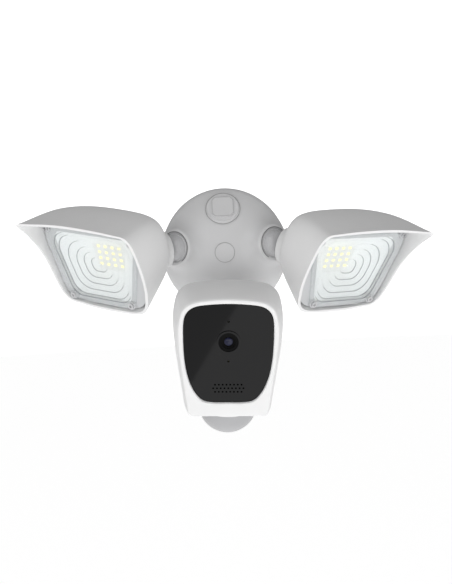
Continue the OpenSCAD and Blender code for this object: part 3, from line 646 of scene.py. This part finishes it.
def front_glass():
    """A stepped dark bezel round a small domed lens."""
    profile = [(6.4, -0.7), (5.7, -0.9), (5.5, -1.6), (4.4, -1.9), (4.2, -2.4), (3.6, -2.5), (3.5, -2.0),
               (2.6, -1.55), (1.3, -1.3), (0.02, -1.22), (0.02, -3.0), (6.4, -3.0)]
    points, faces = lathe(profile, GLASS_COLUMNS)
    piece = new_piece("front_glass", points, [f[::-1] for f in faces], camera_matrix(),
                      LOOKS["black_satin"], "camera", ["front_lens"], crease=40)
    piece.data.materials.append(LOOKS["lens_glass"])
    for ring in GLASS_RINGS:
        for face in piece.data.polygons[ring * GLASS_COLUMNS:(ring + 1) * GLASS_COLUMNS]:
            face.material_index = 1


front_glass()


# ---- floor, light and view ----

VIEW_TILT = math.radians(5.0)
VIEW_POINT = (0.000989, -1.19876, 0.06654)
FLOOR_Z, FLOOR_HALF = -1.2, 14.0
SHELL_RADIUS, SHELL_COLUMNS = 9.0, 48


def backdrop():
    """A white shell far behind everything, which only the camera sees."""
    tilt = np.linspace(-1.5, 1.5, 25)
    profile = np.stack([SHELL_RADIUS * np.cos(tilt), SHELL_RADIUS * np.sin(tilt)], 1)
    points, _ = lathe(profile, SHELL_COLUMNS)
    mesh = bpy.data.meshes.new("backdrop")
    mesh.from_pydata([tuple(p) for p in points], [], grid_faces(len(profile), SHELL_COLUMNS))
    mesh.materials.append(glowing("white_backdrop", (1, 1, 1), 1.0))
    shell = bpy.data.objects.new("backdrop", mesh)
    bpy.context.scene.collection.objects.link(shell)
    shell.visible_diffuse = shell.visible_glossy = shell.visible_transmission = False
    shell.visible_shadow = False


def floor():
    """A plain pale floor, well below the wall lamp."""
    corners = [(-FLOOR_HALF, -FLOOR_HALF), (FLOOR_HALF, -FLOOR_HALF),
               (FLOOR_HALF, FLOOR_HALF), (-FLOOR_HALF, FLOOR_HALF)]
    mesh = bpy.data.meshes.new("floor")
    mesh.from_pydata([(x, y, FLOOR_Z) for x, y in corners], [], [(0, 1, 2, 3)])
    mesh.materials.append(glowing("pale_floor", (0.95, 0.95, 0.95), 0.7))
    plane = bpy.data.objects.new("floor", mesh)
    bpy.context.scene.collection.objects.link(plane)


def area_light(name, place, target, size, power):
    """A soft rectangle of light that faces its target and stays out of the picture."""
    data = bpy.data.lights.new(name, "AREA")
    data.shape = "RECTANGLE"
    data.size, data.size_y = size
    data.energy = power
    lamp = bpy.data.objects.new(name, data)
    bpy.context.scene.collection.objects.link(lamp)
    lamp.visible_camera = False
    away = (Vector(place) - Vector(target)).to_track_quat("Z", "Y")
    lamp.matrix_world = Matrix.Translation(place) @ away.to_matrix().to_4x4()
    return lamp


# Size of the card, its distance from the plate, its brightness and the slant of its edge.
CARD_SIZE, CARD_FAR, CARD_RADIANCE, CARD_SLANT = 0.6, 0.7, 0.75, math.radians(57.57)
CARD_OVERLAP = 0.006
PLATE_MIRROR = Vector((0.03, -0.838, -0.545))


def reflected_card():
    """A light card below the front, whose slanted edge shows in the glossy face plate."""
    low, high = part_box("face_plate")
    middle = (Vector(low) + Vector(high)) / 2 + CARD_FAR * PLATE_MIRROR
    across = Vector((math.sin(CARD_SLANT), 0, -math.cos(CARD_SLANT)))
    place = middle + across * (CARD_SIZE / 2 - CARD_OVERLAP)
    power = CARD_RADIANCE * math.pi * CARD_SIZE**2
    card = area_light("card", place, place - PLATE_MIRROR, (CARD_SIZE, CARD_SIZE), power)
    card.matrix_world = card.matrix_world @ Matrix.Rotation(CARD_SLANT - math.pi / 2, 4, "Z")


backdrop()
floor()
area_light("front_low", (0.15, -1.4, -0.38), (0, 0, -0.02), (1.6, 0.5), 2)
area_light("front_high", (-0.5, -1.6, 0.9), (0, 0, 0), (1.2, 1.2), 7)
reflected_card()

world = bpy.data.worlds.new("studio")
world.use_nodes = True
world.node_tree.nodes["Background"].inputs["Color"].default_value = (1, 1, 1, 1)
world.node_tree.nodes["Background"].inputs["Strength"].default_value = 0.34
bpy.context.scene.world = world
bpy.context.scene.view_settings.view_transform = "Standard"

view = bpy.data.objects.new("view", bpy.data.cameras.new("view"))
view.data.sensor_fit = "VERTICAL"
view.data.sensor_height = 36.0
view.data.lens = 82.31
view.matrix_world = (
    Matrix.Rotation(HEAD_ROLL, 4, "Y")
    @ Matrix.Translation(VIEW_POINT)
    @ Matrix.Rotation(math.pi / 2 - VIEW_TILT, 4, "X")
)
bpy.context.scene.collection.objects.link(view)
bpy.context.scene.camera = view
